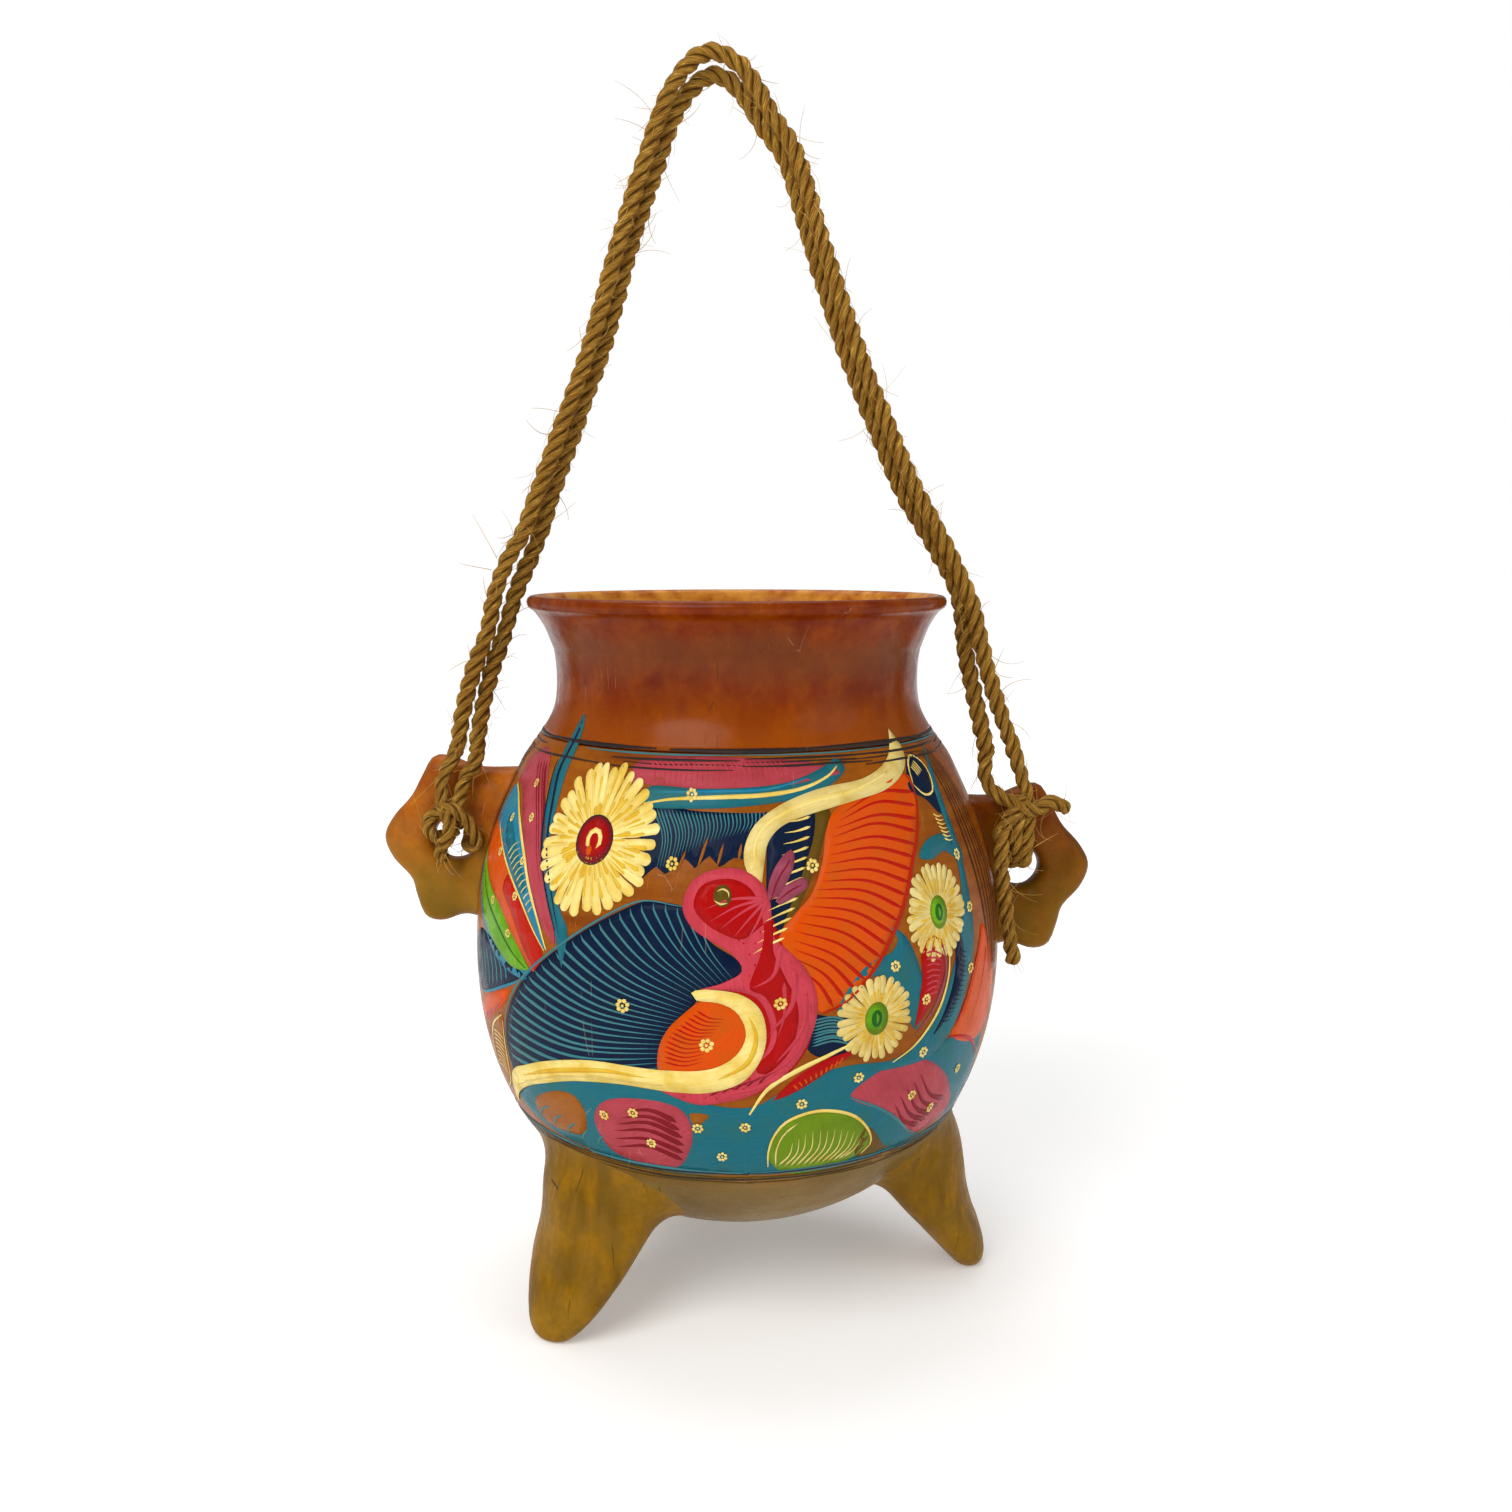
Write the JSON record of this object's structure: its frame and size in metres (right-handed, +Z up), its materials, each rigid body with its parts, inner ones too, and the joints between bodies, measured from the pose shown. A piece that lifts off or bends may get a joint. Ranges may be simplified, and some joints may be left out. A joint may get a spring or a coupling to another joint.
{
  "type": "painted clay tripod pot",
  "caption": "Round burnished clay pot on tapered feet, with a flared collar, star-shaped side lugs, painted bird-and-flower decoration and a doubled rope handle.",
  "frame": {"origin": "on the surface it stands on, under the pot's axis", "axes": "+Z up along the pot's axis, +X from the left lug to the right lug, -Y towards the side with the painted bird"},
  "size_m": [0.246, 0.182, 0.418],
  "materials": {
    "painted_clay": "burnished terracotta painted with glossy brush-drawn decoration",
    "burnished_clay": "burnished low-fired terracotta with a soft shine and fine scratches",
    "agave_rope": "laid three-strand agave fibre rope, rough with loose fibres"
  },
  "bodies": {
    "pot": {"bowl": "painted_clay", "neck": "burnished_clay", "foot_front_left": "burnished_clay", "foot_right": "burnished_clay", "foot_rear": "burnished_clay", "lug_left": "burnished_clay", "lug_right": "burnished_clay", "knot_left": "agave_rope", "knot_right": "agave_rope", "tail_right": "agave_rope"},
    "rope_handle": {"handle_rope_outer": "agave_rope", "handle_rope_inner": "agave_rope"}
  },
  "joints": [
    {"name": "handle_swing", "type": "hinge", "parent": "pot", "child": "rope_handle", "pos_m": [0, -0.011, 0.187], "axis": [1, 0, 0], "range_deg": [-85, 85]}
  ]
}
